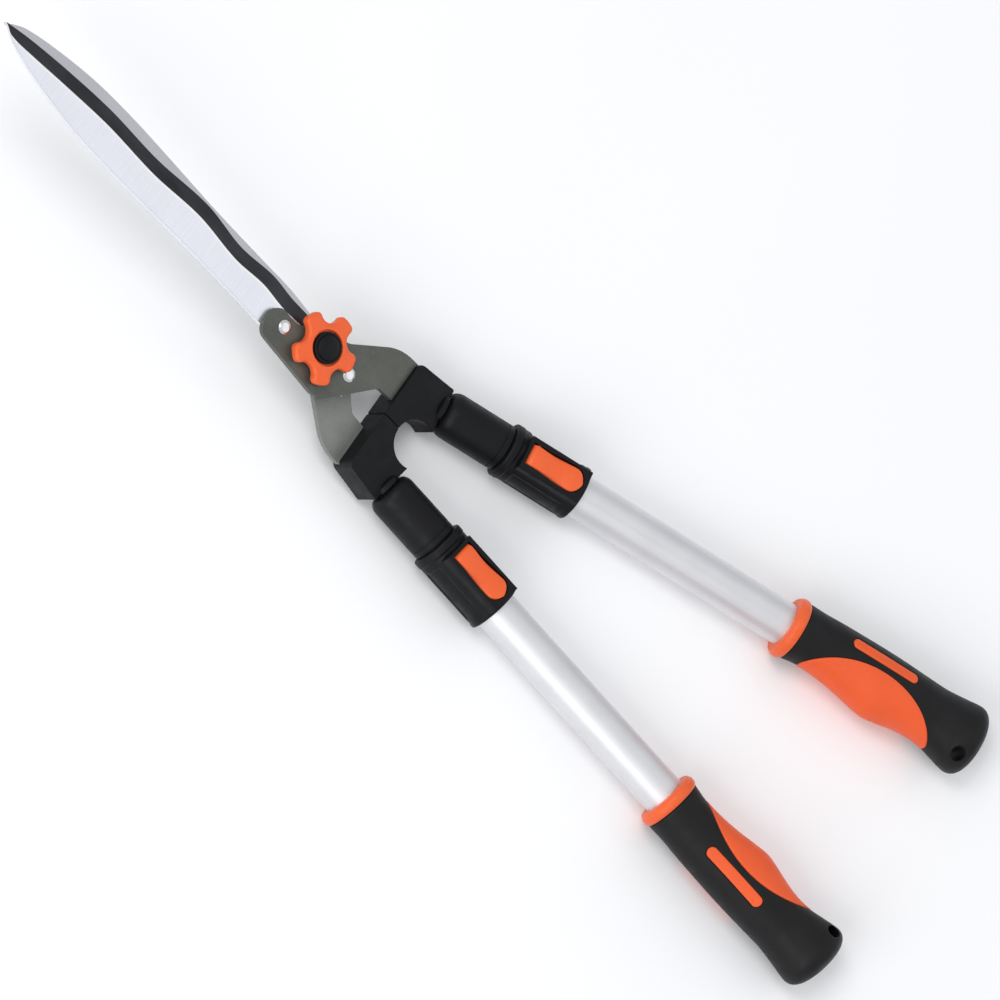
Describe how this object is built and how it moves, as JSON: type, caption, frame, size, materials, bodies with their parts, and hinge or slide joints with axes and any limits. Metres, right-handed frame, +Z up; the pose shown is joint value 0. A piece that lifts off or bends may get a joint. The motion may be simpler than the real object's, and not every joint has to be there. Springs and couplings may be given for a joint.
{
  "type": "hedge shears",
  "caption": "Two-handed telescopic hedge shears with wavy blades, a star tension knob, cranked arms and cam-locked aluminium tube handles.",
  "frame": {"origin": "on the ground under the middle of the whole tool, which lies on its collars and grip butts with the knob up", "axes": "+X from the butts to the blade tips, +Z up, +Y to the left when looking along the blades"},
  "size_m": [0.7128, 0.2006, 0.1065],
  "materials": {
    "blade_steel": "ground and satin polished, with a dark wavy bevel",
    "arm_steel": "dark olive grey coating over pressed steel",
    "bright_steel": "zinc plated",
    "black_plastic": "finely textured glass-filled nylon",
    "orange_plastic": "satin moulded",
    "aluminium": "satin anodised",
    "grip_rubber": "matt soft-touch",
    "orange_rubber": "matt soft-touch",
    "pad_rubber": "matt"
  },
  "bodies": {
    "rear_half": {"rear_arm": "arm_steel", "rear_blade": "blade_steel", "rear_rivets": "bright_steel", "pivot_bolt": "bright_steel", "rear_bumper": "black_plastic", "rear_bumper_pad": "pad_rubber", "rear_sleeve": "black_plastic", "rear_tang_screw": "bright_steel", "rear_inner_tube": "aluminium", "rear_guide_bush": "black_plastic"},
    "front_half": {"front_arm": "arm_steel", "front_blade": "blade_steel", "front_rivets": "bright_steel", "thrust_washer": "bright_steel", "front_bumper": "black_plastic", "front_bumper_pad": "pad_rubber", "front_sleeve": "black_plastic", "front_tang_screw": "bright_steel", "front_inner_tube": "aluminium", "front_guide_bush": "black_plastic"},
    "knob": {"tension_knob": "orange_plastic", "knob_nut": "bright_steel", "knob_cap": "black_plastic", "wave_washer": "bright_steel"},
    "front_handle": {"front_outer_tube": "aluminium", "front_collar": "black_plastic", "front_lever_pin": "bright_steel", "front_clamp_shoe": "black_plastic", "front_grip_ring": "orange_plastic", "front_grip": "grip_rubber", "front_belly_inlay": "orange_rubber", "front_side_inlays": "orange_rubber"},
    "front_lever": {"front_lever": "orange_plastic"},
    "rear_handle": {"rear_outer_tube": "aluminium", "rear_collar": "black_plastic", "rear_lever_pin": "bright_steel", "rear_clamp_shoe": "black_plastic", "rear_grip_ring": "orange_plastic", "rear_grip": "grip_rubber", "rear_belly_inlay": "orange_rubber", "rear_side_inlays": "orange_rubber"},
    "rear_lever": {"rear_lever": "orange_plastic"}
  },
  "joints": [
    {"name": "blade_pivot", "type": "hinge", "parent": "rear_half", "child": "front_half", "pos_m": [0.09123, 0, 0.03436], "axis": [-0.258, 0, 0.9662], "range_deg": [0, 55]},
    {"name": "knob_turn", "type": "hinge", "parent": "rear_half", "child": "knob", "pos_m": [0.09123, 0, 0.03436], "axis": [-0.258, 0, 0.9662], "continuous": true},
    {"name": "front_extend", "type": "slide", "parent": "front_half", "child": "front_handle", "axis": [-0.9891, -0.1467, 0.0099], "range_m": [0, 0.19]},
    {"name": "front_lever_lift", "type": "hinge", "parent": "front_handle", "child": "front_lever", "pos_m": [-0.04756, -0.03626, 0.0332], "axis": [-0.147, 0.9884, -0.0392], "range_deg": [0, 75]},
    {"name": "rear_extend", "type": "slide", "parent": "rear_half", "child": "rear_handle", "axis": [-0.9891, 0.1467, 0.0099], "range_m": [0, 0.19]},
    {"name": "rear_lever_lift", "type": "hinge", "parent": "rear_handle", "child": "rear_lever", "pos_m": [-0.04756, 0.03626, 0.0332], "axis": [0.147, 0.9884, 0.0392], "range_deg": [0, 75]}
  ]
}
